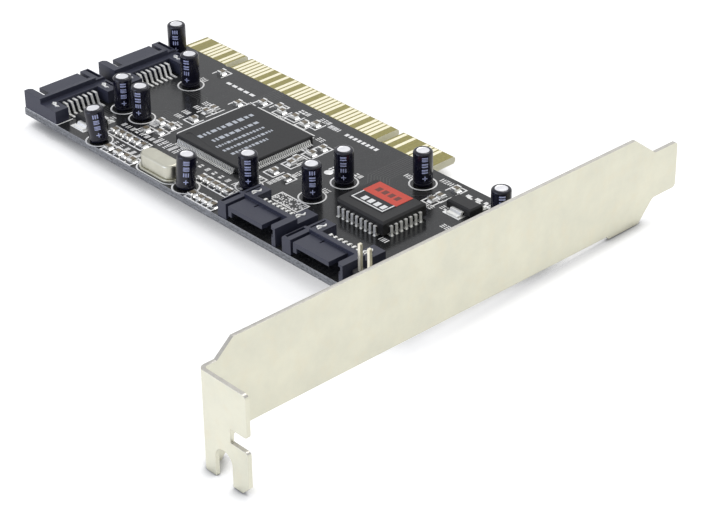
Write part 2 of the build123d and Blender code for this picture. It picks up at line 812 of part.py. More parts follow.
with BuildPart() as chip_terminals:
    cap_center = (chip_length - chip_terminal) / 2
    with Locations(*chip_places):
        with Locations((-cap_center, 0, chip_height / 2), (cap_center, 0, chip_height / 2)):
            Box(chip_terminal, chip_width, chip_height)
write(chip_terminals.part, "chip_terminals")
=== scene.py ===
import itertools
import math
import random

import bmesh
import bpy
from mathutils import Matrix, Vector

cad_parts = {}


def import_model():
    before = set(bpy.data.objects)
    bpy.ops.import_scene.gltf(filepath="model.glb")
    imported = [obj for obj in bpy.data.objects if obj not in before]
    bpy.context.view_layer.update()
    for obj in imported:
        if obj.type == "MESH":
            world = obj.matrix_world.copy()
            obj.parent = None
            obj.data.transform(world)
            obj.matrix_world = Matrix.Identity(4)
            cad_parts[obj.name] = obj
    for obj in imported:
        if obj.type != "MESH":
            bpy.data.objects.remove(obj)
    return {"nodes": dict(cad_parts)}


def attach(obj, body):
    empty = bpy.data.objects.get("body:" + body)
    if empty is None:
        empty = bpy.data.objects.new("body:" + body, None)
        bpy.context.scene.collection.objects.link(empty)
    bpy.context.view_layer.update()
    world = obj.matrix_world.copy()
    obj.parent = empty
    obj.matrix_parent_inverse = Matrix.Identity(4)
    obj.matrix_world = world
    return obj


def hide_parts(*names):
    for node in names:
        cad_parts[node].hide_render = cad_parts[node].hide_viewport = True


mm = 0.001
dice = random.Random(11)

print("loading the card")
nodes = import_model()["nodes"]
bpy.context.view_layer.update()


def feed(tree, target, value):
    # links a wire to a socket, or sets the socket's own value
    if isinstance(value, Wire):
        tree.links.new(value.socket, target)
    elif target.type == "RGBA":
        target.default_value = (*value, 1)
    else:
        target.default_value = value


def addNode(tree, kind, settings, values, output=0):
    # settings come before the sockets, because some of them change which sockets there are
    node = tree.nodes.new("ShaderNode" + kind)
    for key, value in settings.items():
        if key == "stops":
            while len(node.color_ramp.elements) < len(value):
                node.color_ramp.elements.new(0.5)
            for element, (place, color) in zip(node.color_ramp.elements, value):
                element.position = place
                element.color = (*color, 1)
        else:
            setattr(node, key, value)
    for key, value in values.items():
        feed(tree, node.inputs[key], value)
    return Wire(tree, node.outputs[output])


class Wire:
    # a node's output that can stand in a sum
    def __init__(self, tree, socket):
        self.tree = tree
        self.socket = socket

    def maths(self, operation, *values):
        return addNode(self.tree, "Math", {"operation": operation}, dict(enumerate(values)))

    def __add__(self, other):
        return self.maths("ADD", self, other)

    def __sub__(self, other):
        return self.maths("SUBTRACT", self, other)

    def __rsub__(self, other):
        return self.maths("SUBTRACT", other, self)

    def __mul__(self, other):
        return self.maths("MULTIPLY", self, other)

    def __gt__(self, other):
        return self.maths("GREATER_THAN", self, other)

    def __lt__(self, other):
        return self.maths("LESS_THAN", self, other)

    def __abs__(self):
        return self.maths("ABSOLUTE", self)

    __radd__ = __add__
    __rmul__ = __mul__


class Finish:
    def __init__(self, name, **shader):
        self.material = bpy.data.materials.new(name)
        self.material.use_nodes = True
        self.tree = self.material.node_tree
        self.shader = self.tree.nodes["Principled BSDF"]
        self.wear(**shader)

    def wear(self, **shader):
        # baseColor=... sets or links the shader's Base Color, and so on
        for key, value in shader.items():
            words = "".join(" " + c if c.isupper() else c for c in key).title()
            feed(self.tree, self.shader.inputs[words.replace("I O R", "IOR")], value)

    def node(self, kind, settings, values, output=0):
        return addNode(self.tree, kind, settings, values, output)

    def place(self):
        # position on the piece, in millimetres
        here = self.node("TexCoord", {}, {}, "Object")
        return self.node("VectorMath", {"operation": "SCALE"}, {0: here, "Scale": 1 / mm})

    def parts(self, vector):
        return [self.node("SeparateXYZ", {}, {0: vector}, axis) for axis in "XYZ"]

    def facing(self):
        return self.parts(self.node("TexCoord", {}, {}, "Normal"))

    def noise(self, scale, detail=2.0, roughness=0.5, stretch=(1, 1, 1)):
        spread = self.node("VectorMath", {"operation": "MULTIPLY"}, {0: self.place(), 1: stretch})
        settings = {"Vector": spread, "Scale": scale, "Detail": detail, "Roughness": roughness}
        return self.node("TexNoise", {}, settings)

    def ramp(self, factor, low, high):
        return self.node("MapRange", {"clamp": True}, {"Value": factor, "From Min": low, "From Max": high})

    def blend(self, factor, first, second):
        return self.node("Mix", {"data_type": "RGBA"}, {0: factor, 6: first, 7: second}, 2)

    def bump(self, height, depth, strength):
        # depth in millimetres
        values = {"Height": height, "Distance": depth * mm, "Strength": strength}
        self.wear(normal=self.node("Bump", {}, values))


print("mixing the finishes")

boardLook = {
    "mask": (0.025, 0.026, 0.027), "maskDark": (0.008, 0.008, 0.009), "maskFleck": (0.048, 0.048, 0.046),
    "laminate": (0.42, 0.37, 0.10), "laminateDark": (0.22, 0.19, 0.035), "cutLaminate": (0.97, 0.94, 0.74),
    "cutFleck": (0.90, 0.87, 0.66), "thickness": 1.6,
    "maskLine": -6.6, "stripLine": -7.2,  # along x: the end of the mask, and the root of the finger strip
    # the cut edge from the solder side up, in bands that grow lighter upwards; the light line along the top is
    # a painted highlight
    "edge": [(0.0, (0.03, 0.03, 0.03)), (0.12, (0.10, 0.10, 0.10)), (0.4, (0.19, 0.195, 0.20)),
             (0.5, (0.07, 0.07, 0.072)), (0.62, (0.12, 0.122, 0.12)), (0.9, (0.26, 0.265, 0.27)),
             (1.0, (0.40, 0.40, 0.40))],
    "fibre": (0.60, 0.61, 0.62), "fibreDark": (0.02, 0.02, 0.02), "fibreShare": 0.42,
}
underside = -boardLook["thickness"]


def boardFinish(look):
    finish = Finish("solderMask", specularIORLevel=0.37)
    x, y, z = finish.parts(finish.place())
    flat = abs(finish.facing()[2]) > 0.9
    mask = finish.blend(finish.noise(0.5, 3.0), look["maskDark"], look["mask"])
    flecks = finish.ramp(finish.noise(2.4, 3.0, 0.8), 0.54, 0.70)
    mask = finish.blend(flecks, mask, look["maskFleck"])
    bare = finish.blend(finish.noise(1.6, 3.0), look["laminateDark"], look["laminate"])
    # the cut edge in bands, darker towards the solder side, with a painted highlight along its top line
    edgeBandsAndHighlight = finish.node("ValToRGB", {"stops": look["edge"]}, {0: z * (1 / look["thickness"]) + 1})
    fibres = finish.ramp(finish.noise(1.7, 4.0, 0.8, (1, 1, 2.4)), 0.36, 0.66)
    fibres = finish.blend(fibres, look["fibreDark"], look["fibre"])
    cut = finish.blend(finish.noise(3.0, 4.0, 0.7), look["cutFleck"], look["cutLaminate"])
    edge = finish.blend(x > look["stripLine"], finish.blend(look["fibreShare"], edgeBandsAndHighlight, fibres), cut)
    finish.wear(baseColor=finish.blend(flat, edge, finish.blend(x > look["maskLine"], mask, bare)))
    finish.wear(roughness=finish.noise(2.5, 3.0) * 0.10 + (1 - flat) * 0.35 + 0.13)
    finish.bump(finish.noise(1.2, 3.0), 0.014, 0.5)
    return finish.material


metalLooks = {
    "goldPlate": {"color": (1.0, 0.96, 0.78), "dark": (0.95, 0.88, 0.60), "roughness": 0.26, "grain": 3.0},
    "zincPlate": {"color": (0.72, 0.72, 0.70), "dark": (0.6, 0.6, 0.58), "roughness": 0.34, "grain": 1.5},
    "tinPlate": {"color": (0.98, 0.98, 0.96), "dark": (0.86, 0.86, 0.83), "roughness": 0.34, "grain": 2.5,
                 "metallic": 0.3},
    "pinPlate": {"color": (0.96, 0.92, 0.78), "dark": (0.84, 0.78, 0.60), "roughness": 0.32, "grain": 2.5,
                 "metallic": 0.7},
    "solder": {"color": (0.93, 0.93, 0.92), "dark": (0.74, 0.74, 0.73), "roughness": 0.24, "grain": 2.0,
               "metallic": 0.85},
    "canAluminium": {"color": (0.82, 0.82, 0.84), "dark": (0.68, 0.68, 0.71), "roughness": 0.32, "grain": 3.0},
    "drawnCan": {"color": (0.60, 0.59, 0.50), "dark": (0.46, 0.45, 0.38), "roughness": 0.34, "grain": 1.2},
}


def metalFinish(name, look):
    finish = Finish(name, metallic=look.get("metallic", 1.0))
    cloud = finish.noise(look["grain"] * 0.4, 3.0)
    grain = finish.noise(look["grain"] * 6, 3.0, 0.6)
    finish.wear(baseColor=finish.blend(cloud, look["dark"], look["color"]))
    finish.wear(roughness=grain * 0.14 + (look["roughness"] - 0.07))
    finish.bump(grain, 0.01, 0.35)
    return finish.material


sheetLook = {
    "face": (0.735, 0.72, 0.595), "cloud": (0.675, 0.665, 0.555), "warm": (0.715, 0.675, 0.535),
    "cut": (0.36, 0.345, 0.32), "cutPale": (0.56, 0.545, 0.50), "roughness": 0.38,
}


def sheetFinish(look):
    # plated sheet: clouded faces, greyer where the sheet was cut
    finish = Finish("nickelSheet", metallic=0.92)
    face = finish.blend(finish.ramp(finish.noise(0.12, 4.0, 0.65), 0.35, 0.65), look["cloud"], look["face"])
    face = finish.blend(finish.ramp(finish.noise(0.3, 3.0, 0.6), 0.5, 0.75) * 0.6, face, look["warm"])
    cut = finish.blend(finish.noise(1.0, 3.0, 0.7, (1, 1, 4)), look["cut"], look["cutPale"])
    finish.wear(baseColor=finish.blend(abs(finish.facing()[2]) > 0.6, face, cut))
    grain = finish.noise(4.0, 4.0, 0.7, (0.25, 1, 1))
    finish.wear(roughness=grain * 0.16 + (look["roughness"] - 0.08))
    finish.bump(grain, 0.006, 0.3)
    return finish.material


plasticLooks = {
    "socketPlastic": {"color": (0.022, 0.024, 0.042), "pale": (0.036, 0.039, 0.064),
                      "roughness": 0.44, "grain": 7.0},
    "mouldingCompound": {"color": (0.016, 0.016, 0.017), "pale": (0.030, 0.030, 0.031),
                         "roughness": 0.5, "grain": 9.0, "specular": 0.25},
    "shrunkSleeve": {"color": (0.003, 0.003, 0.010), "pale": (0.007, 0.007, 0.020),
                     "roughness": 0.2, "grain": 1.5},
    "rubberBung": {"color": (0.012, 0.012, 0.012), "pale": (0.020, 0.020, 0.020),
                   "roughness": 0.7, "grain": 5.0},
    "headerPlastic": {"color": (0.014, 0.014, 0.016), "pale": (0.024, 0.024, 0.026),
                      "roughness": 0.48, "grain": 7.0},
    "whiteInk": {"color": (0.88, 0.88, 0.87), "pale": (1.0, 1.0, 0.99), "roughness": 0.5, "grain": 5.0},
    "sleeveInk": {"color": (0.30, 0.33, 0.55), "pale": (0.62, 0.66, 0.92), "roughness": 0.4, "grain": 3.0},
    "laserMark": {"color": (0.34, 0.36, 0.40), "pale": (0.66, 0.70, 0.76), "roughness": 0.6, "grain": 6.0},
    "coveredCopper": {"color": (0.034, 0.035, 0.035), "pale": (0.055, 0.056, 0.055),
                      "roughness": 0.24, "grain": 3.0},
    "firedCeramic": {"color": (0.08, 0.058, 0.038), "pale": (0.26, 0.22, 0.155),
                     "roughness": 0.4, "grain": 3.0},
}


def plasticFinish(name, look):
    finish = Finish(name, specularIORLevel=look.get("specular", 0.4))
    grain = finish.noise(look["grain"], 3.0, 0.6)
    finish.wear(baseColor=finish.blend(grain, look["color"], look["pale"]))
    finish.wear(roughness=finish.noise(look["grain"] * 0.3) * 0.14 + (look["roughness"] - 0.07))
    finish.bump(grain, 0.012, 0.5)
    return finish.material


labelLook = {
    "red": (0.70, 0.085, 0.05), "redWorn": (0.56, 0.06, 0.04), "black": (0.010, 0.010, 0.012),
    "white": (0.85, 0.85, 0.85), "darkRed": (0.17, 0.045, 0.035), "middle": (-26.5, 31.7), "half": (4.1, 4.7),
    "division": -27.0, "inset": 0.28, "line": 0.3, "pitch": 1.75, "inked": 0.68,
    # middle, half size and tone of each broken bar
    "bars": ((-24.7, 31.8, 0.75, 3.4, "darkRed"), (-28.9, 31.3, 0.75, 3.4, "white")),
}


def labelFinish(look):
    finish = Finish("printedLabel", roughness=0.42, specularIORLevel=0.25)
    x, y = finish.parts(finish.place())[:2]
    grain = finish.noise(6.0, 3.0)
    color = finish.blend(x > look["division"], look["black"], finish.blend(grain, look["redWorn"], look["red"]))
    for barX, barY, halfX, halfY, tone in look["bars"]:
        inside = (abs(x - barX) < halfX) * (abs(y - barY) < halfY)
        gaps = y.maths("FRACT", (y - barY) * (1 / look["pitch"])) < look["inked"]
        color = finish.blend(inside * gaps, color, look[tone])
    side, ends = (look["half"][k] - look["inset"] for k in (0, 1))
    across, along = abs(x - look["middle"][0]), abs(y - look["middle"][1])
    within = (across < side) * (along < ends)
    inner = (across < side - look["line"]) * (along < ends - look["line"])
    color = finish.blend((within - inner) * (x < look["division"]), color, look["white"])
    finish.wear(baseColor=color)
    finish.bump(grain, 0.004, 0.4)
    return finish.material


finishes = {name: metalFinish(name, look) for name, look in metalLooks.items()}
finishes.update({name: plasticFinish(name, look) for name, look in plasticLooks.items()})
finishes["nickelSheet"] = sheetFinish(sheetLook)
finishes["solderMask"] = boardFinish(boardLook)
finishes["printedLabel"] = labelFinish(labelLook)


print("building the small pieces")


def prism(mesh, outline, low, high):
    # an upright slab over a flat outline, counterclockwise, in millimetres
    rings = [[mesh.verts.new((x * mm, y * mm, z * mm)) for x, y in outline] for z in (low, high)]
    mesh.faces.new(reversed(rings[0]))
    mesh.faces.new(rings[1])
    count = len(outline)
    for n in range(count):
        m = (n + 1) % count
        mesh.faces.new((rings[0][n], rings[0][m], rings[1][m], rings[1][n]))


def bar(mesh, center, size, low, high, turn=0.0):
    # an upright slab over a rectangle, turned in degrees
    spin = Matrix.Rotation(math.radians(turn), 2)
    corners = [(-0.5, -0.5), (0.5, -0.5), (0.5, 0.5), (-0.5, 0.5)]
    outline = [Vector(center) + spin @ Vector((a * size[0], b * size[1])) for a, b in corners]
    prism(mesh, outline, low, high)


def shifted(points, distance, closed=False):
    # the same run of points moved sideways, with its corners kept sharp
    moved = []
    count = len(points)
    for n, point in enumerate(points):
        before = points[n - 1] if n or closed else point
        after = points[(n + 1) % count] if n < count - 1 or closed else point
        turns = [(b - a).normalized() for a, b in ((before, point), (point, after)) if (b - a).length > 0]
        sides = [Vector((-turn.y, turn.x)) for turn in turns]
        middle = (sides[0] + sides[-1]).normalized()
        moved.append(point + middle * distance / max(middle.dot(sides[0]), 0.3))
    return moved


def ribbon(mesh, points, width, low, high, closed=False):
    # a flat strip with upright sides that follows the points, in millimetres
    points = [Vector(point) for point in points]
    left, right = shifted(points, width / 2, closed), shifted(points, -width / 2, closed)
    rings = []
    for a, b in zip(left, right):
        corners = ((a, low), (b, low), (b, high), (a, high))
        rings.append([mesh.verts.new(Vector((*place, z)) * mm) for place, z in corners])
    for a, b in zip(rings, rings[1:] + (rings[:1] if closed else [])):
        for k in range(4):
            mesh.faces.new((a[k], a[(k + 1) % 4], b[(k + 1) % 4], b[k]))
    if not closed:
        mesh.faces.new(rings[0])
        mesh.faces.new(reversed(rings[-1]))


def arc(center, radius, start=0.0, sweep=math.tau, steps=72):
    # a full turn leaves its last point out
    count = steps if sweep >= math.tau else steps + 1
    return [(center[0] + radius * math.cos(start + sweep * n / steps),
             center[1] + radius * math.sin(start + sweep * n / steps)) for n in range(count)]


def lathe(mesh, profile, place, sides, indexes=itertools.repeat(0)):
    # profile is (radius, height) from one end to the other, closed on the axis; indexes pick the finishes
    loops = []
    for radius, height in profile:
        if radius == 0:
            loops.append([mesh.verts.new(place @ (Vector((0, 0, height)) * mm))])
            continue
        loop = []
        for n in range(sides):
            angle = math.tau * n / sides
            point = Vector((radius * math.cos(angle), radius * math.sin(angle), height))
            loop.append(mesh.verts.new(place @ (point * mm)))
        loops.append(loop)
    for a, b, index in zip(loops, loops[1:], indexes):
        for n in range(sides):
            m = (n + 1) % sides
            if len(a) == 1:
                face = mesh.faces.new((a[0], b[m], b[n]))
            elif len(b) == 1:
                face = mesh.faces.new((a[n], a[m], b[0]))
            else:
                face = mesh.faces.new((a[n], a[m], b[m], b[n]))
            face.material_index = index


def islands(name):
    # the box of each separate solid of a CAD node, in millimetres
    mesh = bmesh.new()
    mesh.from_mesh(nodes[name].data)
    bmesh.ops.remove_doubles(mesh, verts=mesh.verts, dist=0.002 * mm)
    left = set(mesh.verts)
    boxes = []
    while left:
        edge = [left.pop()]
        found = list(edge)
        while edge:
            for link in edge.pop().link_edges:
                for vert in link.verts:
                    if vert in left:
                        left.remove(vert)
                        edge.append(vert)
                        found.append(vert)
        places = [vert.co / mm for vert in found]
        boxes.append(tuple(Vector(f(p[k] for p in places) for k in range(3)) for f in (min, max)))
    mesh.free()
    return sorted(boxes, key=lambda box: tuple(round(v, 2) for v in box[0]))


def piece(name, mesh, finishNames, replaced=(), angle=40):
    data = bpy.data.meshes.new(name)
    bmesh.ops.recalc_face_normals(mesh, faces=mesh.faces)
    mesh.to_mesh(data)
    mesh.free()
    data.shade_smooth()
    data.set_sharp_from_angle(angle=math.radians(angle))
    for finishName in finishNames:
        data.materials.append(finishes[finishName])
    made = bpy.data.objects.new(name, data)
    bpy.context.scene.collection.objects.link(made)
    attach(made, "root")
    if replaced:
        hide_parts(*replaced)
    return made


def softened(node, finishName, width, angle=28):
    # the same shape with its edges rounded over
    mesh = bmesh.new()
    mesh.from_mesh(nodes[node].data)
    bmesh.ops.remove_doubles(mesh, verts=mesh.verts, dist=0.002 * mm)
    bmesh.ops.dissolve_limit(mesh, angle_limit=math.radians(1.0), verts=mesh.verts, edges=mesh.edges)
    made = piece(node + "_soft", mesh, [finishName], (node,), angle)
    bevel = made.modifiers.new("edges", "BEVEL")
    bevel.width = width * mm
    bevel.segments = 2
    bevel.limit_method = "ANGLE"
    bevel.angle_limit = math.radians(angle)
    bevel.use_clamp_overlap = True
    bevel.harden_normals = True


plainPieces = {
    "circuit_board": "solderMask", "contact_fingers_component_side": "goldPlate",
    "contact_fingers_solder_side": "goldPlate", "board_locks": "tinPlate", "capacitor_leads": "tinPlate",
    "controller_leads": "tinPlate", "crystal_leads": "tinPlate", "header_pins": "pinPlate",
    "memory_label": "printedLabel", "memory_leads": "tinPlate", "regulator_leads": "tinPlate",
    "regulator_tabs": "tinPlate", "chip_bodies": "firedCeramic", "chip_terminals": "solder",
    "socket_contacts_1": "tinPlate", "socket_contacts_2": "tinPlate", "socket_contacts_3": "tinPlate",
    "socket_contacts_4": "tinPlate",
}
for node, finishName in plainPieces.items():
    nodes[node].data.materials.clear()
    nodes[node].data.materials.append(finishes[finishName])

# finish, slot and edge radius of the pieces with rounded edges
softEdges = {
    "mounting_bracket": ("nickelSheet", "bracket", 0.07), "angle_tab_1": ("nickelSheet", "bracket", 0.08),
    "angle_tab_2": ("nickelSheet", "bracket", 0.08), "bracket_screws": ("zincPlate", "fastener", 0.12),
    **{f"socket_housing_{n}": ("socketPlastic", "socket_plastic", 0.05) for n in (1, 2, 3, 4)},
    "controller_body": ("mouldingCompound", "moulding", 0.06),
    "memory_body": ("mouldingCompound", "moulding", 0.07),
    "crystal_base": ("drawnCan", "crystal", 0.10), "crystal_can": ("drawnCan", "crystal", 0.16),
    "regulator_bodies": ("mouldingCompound", "moulding", 0.06),
    "header_base": ("headerPlastic", "moulding", 0.06),
}
for node, (finishName, slotName, width) in softEdges.items():
    softened(node, finishName, width)

print("turning the capacitors")

capacitorShape = {
    # x and y on the board, lean in degrees, and the heading of the printed side
    "places": [
        (-10.9, 113.9, 0.0, 222), (-18.3, 100.2, 0.0, 208), (-35.3, 101.5, 0.0, 236), (-35.3, 95.4, 0.0, 214),
        (-47.8, 93.6, 6.5, 240), (-47.5, 65.8, -4.3, 230), (-38.2, 57.4, 0.0, 226), (-32.1, 45.5, 0.0, 232),
        (-23.6, 45.5, 0.0, 224), (-12.7, 34.4, 0.0, 238), (-12.6, 13.0, 0.0, 230),
    ],
    "heading": 138.0, "standoff": 0.25, "radius": 2.0, "ringRadius": 2.75, "inkDepth": 0.01, "inkProud": 0.008,
    "sides": 56,
    "profile": [
        (0, 0.12), (1.5, 0.12), (1.62, 0.0), (1.86, 0.0), (2.0, 0.14), (2.0, 0.95), (1.95, 1.12), (1.95, 1.24),
        (2.0, 1.42), (2.0, 6.78), (1.96, 6.97), (1.86, 7.13), (1.7, 7.24), (1.5, 7.3), (1.36, 7.29),
        (1.3, 7.22), (1.24, 7.19), (0.9, 7.22), (0, 7.23),
    ],
    "indexes": [2, 2, 0, 0, 0, 0, 0, 0, 0, 0, 0, 0, 0, 0, 0, 1, 1, 1],
    # plain strokes on the wall: place across, rise, width, height; three rows above a plus sign
    "plus": [(0.0, 1.75, 1.0, 0.22), (0.0, 1.36, 0.22, 1.0)],
    "rows": (3.0, 4.3, 5.6),
    "strokes": [
        [(0.0, 0.0, 1.24, 0.22), (0.0, 0.33, 1.24, 0.18), (0.0, 0.62, 1.24, 0.24)],
        [(-0.46, 0.0, 0.26, 0.86), (0.0, 0.0, 0.26, 0.86), (0.46, 0.0, 0.26, 0.86)],
        [(0.0, 0.0, 1.24, 0.3), (0.0, 0.52, 1.24, 0.34)],
    ],
}


def leaning(shape, x, y, lean):
    # where a can stands, tipped over its foot
    axis = Matrix.Rotation(math.radians(shape["heading"]), 4, "Z") @ Vector((0, 1, 0))
    foot = Matrix.Translation(Vector((x, y, shape["standoff"])) * mm)
    return foot @ Matrix.Rotation(math.radians(lean), 4, axis)


def wallMark(mesh, place, heading, shape, across, low, width, tall):
    # a printed stroke on the round wall, in millimetres
    steps = 4
    columns = []
    inner, outer = shape["radius"] - shape["inkDepth"], shape["radius"] + shape["inkProud"]
    for n in range(steps + 1):
        angle = math.radians(heading) + (across + width * (n / steps - 0.5)) / shape["radius"]
        column = []
        for r, z in ((inner, low), (outer, low), (outer, low + tall), (inner, low + tall)):
            column.append(mesh.verts.new(place @ (Vector((r * math.cos(angle), r * math.sin(angle), z)) * mm)))
        columns.append(column)
    for a, b in zip(columns, columns[1:]):
        for k in range(4):
            mesh.faces.new((a[k], a[(k + 1) % 4], b[(k + 1) % 4], b[k]))
    mesh.faces.new(columns[0])
    mesh.faces.new(reversed(columns[-1]))


cans = bmesh.new()
canMarks = bmesh.new()
for x, y, lean, heading in capacitorShape["places"]:
    place = leaning(capacitorShape, x, y, lean)
    lathe(cans, capacitorShape["profile"], place, capacitorShape["sides"], capacitorShape["indexes"])
    for across, low, width, tall in capacitorShape["plus"]:
        wallMark(canMarks, place, heading, capacitorShape, across, low, width, tall)
    for row in capacitorShape["rows"]:
        for across, rise, width, tall in dice.choice(capacitorShape["strokes"]):
            wallMark(canMarks, place, heading, capacitorShape, across, row + rise, width, tall)
piece("capacitor_cans", cans, ["shrunkSleeve", "canAluminium", "rubberBung"], ("capacitors",), 50)
piece("capacitor_print", canMarks, ["sleeveInk"])

print("soldering")

solderShape = {
    "padThickness": 0.035, "fillet": [(0, 0.5), (0.05, 0.3), (0.14, 0.15), (0.27, 0.06), (0.42, 0.0)],
    # a chip's pad: size along and across the chip, and how far its middle lies past the chip's end
    "chipPad": (1.05, 1.3), "chipPadShift": 0.12, "filletWidth": 1.15, "filletScale": 1.1,
    # how much longer and wider than the lead each pad is
    "leadPads": {"controller_leads": (0.55, 0.1), "memory_leads": (0.6, 0.16), "regulator_leads": (0.9, 0.5),
                 "regulator_tabs": (1.5, 0.9)},
}


def fillet(mesh, foot, outward, shape):
    # a concave wedge of solder against an upright end
    foot, out = foot.to_3d(), outward.to_3d().normalized()
    side = Vector((-out.y, out.x, 0)) * shape["filletWidth"] / 2
    rows = []
    for distance, rise in shape["fillet"]:
        here = foot + out * distance * shape["filletScale"]
        here.z = shape["padThickness"] + rise * shape["filletScale"]
        rows.append([mesh.verts.new((here + s) * mm) for s in (side, -side)])
    bottom = [mesh.verts.new((foot + s) * mm) for s in (side, -side)]
    for a, b in zip(rows, rows[1:]):
        mesh.faces.new((a[0], a[1], b[1], b[0]))
    mesh.faces.new((rows[-1][0], rows[-1][1], bottom[1], bottom[0]))
    mesh.faces.new((bottom[0], bottom[1], rows[0][1], rows[0][0]))
    mesh.faces.new([bottom[0]] + [row[0] for row in rows])
    mesh.faces.new([bottom[1]] + [row[1] for row in reversed(rows)])


solderMesh = bmesh.new()
pad = solderShape["padThickness"]
chipBoxes = islands("chip_bodies")
for low, high in chipBoxes:
    middle = (low + high) / 2
    size = high - low
    along = Vector((1, 0)) if size.x > size.y else Vector((0, 1))
    half = max(size.x, size.y) / 2
    extent = solderShape["chipPad"] if along.x else solderShape["chipPad"][::-1]
    for side in (-1, 1):
        end = Vector((middle.x, middle.y)) + along * side * half
        bar(solderMesh, end + along * side * solderShape["chipPadShift"], extent, 0, pad)
        fillet(solderMesh, end, along * side, solderShape)
for name, margin in solderShape["leadPads"].items():
    for low, high in islands(name):
        middle = (low + high) / 2
        size = high - low
        grow = margin if size.x > size.y else margin[::-1]
        bar(solderMesh, (middle.x, middle.y), (size.x + grow[0], size.y + grow[1]), 0, pad)
piece("surface_pads", solderMesh, ["solder"])

lockShape = {"width": 0.24, "swing": 0.46, "steps": 24, "legShare": 0.98, "wireShare": 0.97, "legTop": 0.28,
             "wireLow": 0.3, "wireHigh": 0.01}
hooks = bmesh.new()
for low, high in islands("board_locks"):
    # a bent wire over the wing, and its leg down through the board
    middle = (low + high) / 2
    length = Vector((high.x - low.x, high.y - low.y))
    along = Vector((1, 0)) if length.x > length.y else Vector((0, 1))
    across = Vector((-along.y, along.x))
    half = max(length) / 2
    bar(hooks, (middle.x, middle.y), length * lockShape["legShare"], low.z, high.z - lockShape["legTop"])
    spine = []
    for n in range(lockShape["steps"] + 1):
        t = n / lockShape["steps"]
        sway = lockShape["swing"] * math.sin(math.tau * t)
        run = along * half * (2 * t - 1) * lockShape["wireShare"]
        spine.append(Vector((middle.x, middle.y)) + run + across * sway)
    ribbon(hooks, spine, lockShape["width"], high.z - lockShape["wireLow"], high.z - lockShape["wireHigh"])
piece("lock_hooks", hooks, ["tinPlate"], ("board_locks",), 50)

coneShape = {
    # radius and height under the board, from the pad down
    "profile": [(0, -1.55), (0.95, -1.6), (0.9, -1.66), (0.62, -1.78), (0.42, -1.98), (0.33, -2.2),
                (0.24, -2.34), (0, -2.36)],
    "spread": {"capacitor_leads": 0.8, "crystal_leads": 0.9, "header_pins": 1.15},
    "sides": 24, "ringRadius": 0.65, "ringWidth": 0.7, "ringLow": -0.02, "lockMargin": 1.0,
}
cones = bmesh.new()
for name, spread in coneShape["spread"].items():
    profile = [(radius * spread, height) for radius, height in coneShape["profile"]]
    for low, high in islands(name):
        middle = (low + high) / 2
        lathe(cones, profile, Matrix.Translation(Vector((middle.x, middle.y, 0)) * mm), coneShape["sides"])
        if name == "header_pins":
            ring = arc((middle.x, middle.y), coneShape["ringRadius"], steps=32)
            ribbon(cones, ring, coneShape["ringWidth"], coneShape["ringLow"], pad, True)
for low, high in islands("board_locks"):
    middle = (low + high) / 2
    if low.z < underside:
        extent = [size + coneShape["lockMargin"] for size in (high - low).xy]
        bar(cones, (middle.x, middle.y), extent, underside - pad, underside)
piece("solder_cones", cones, ["solder"], angle=60)

print("printing the board")

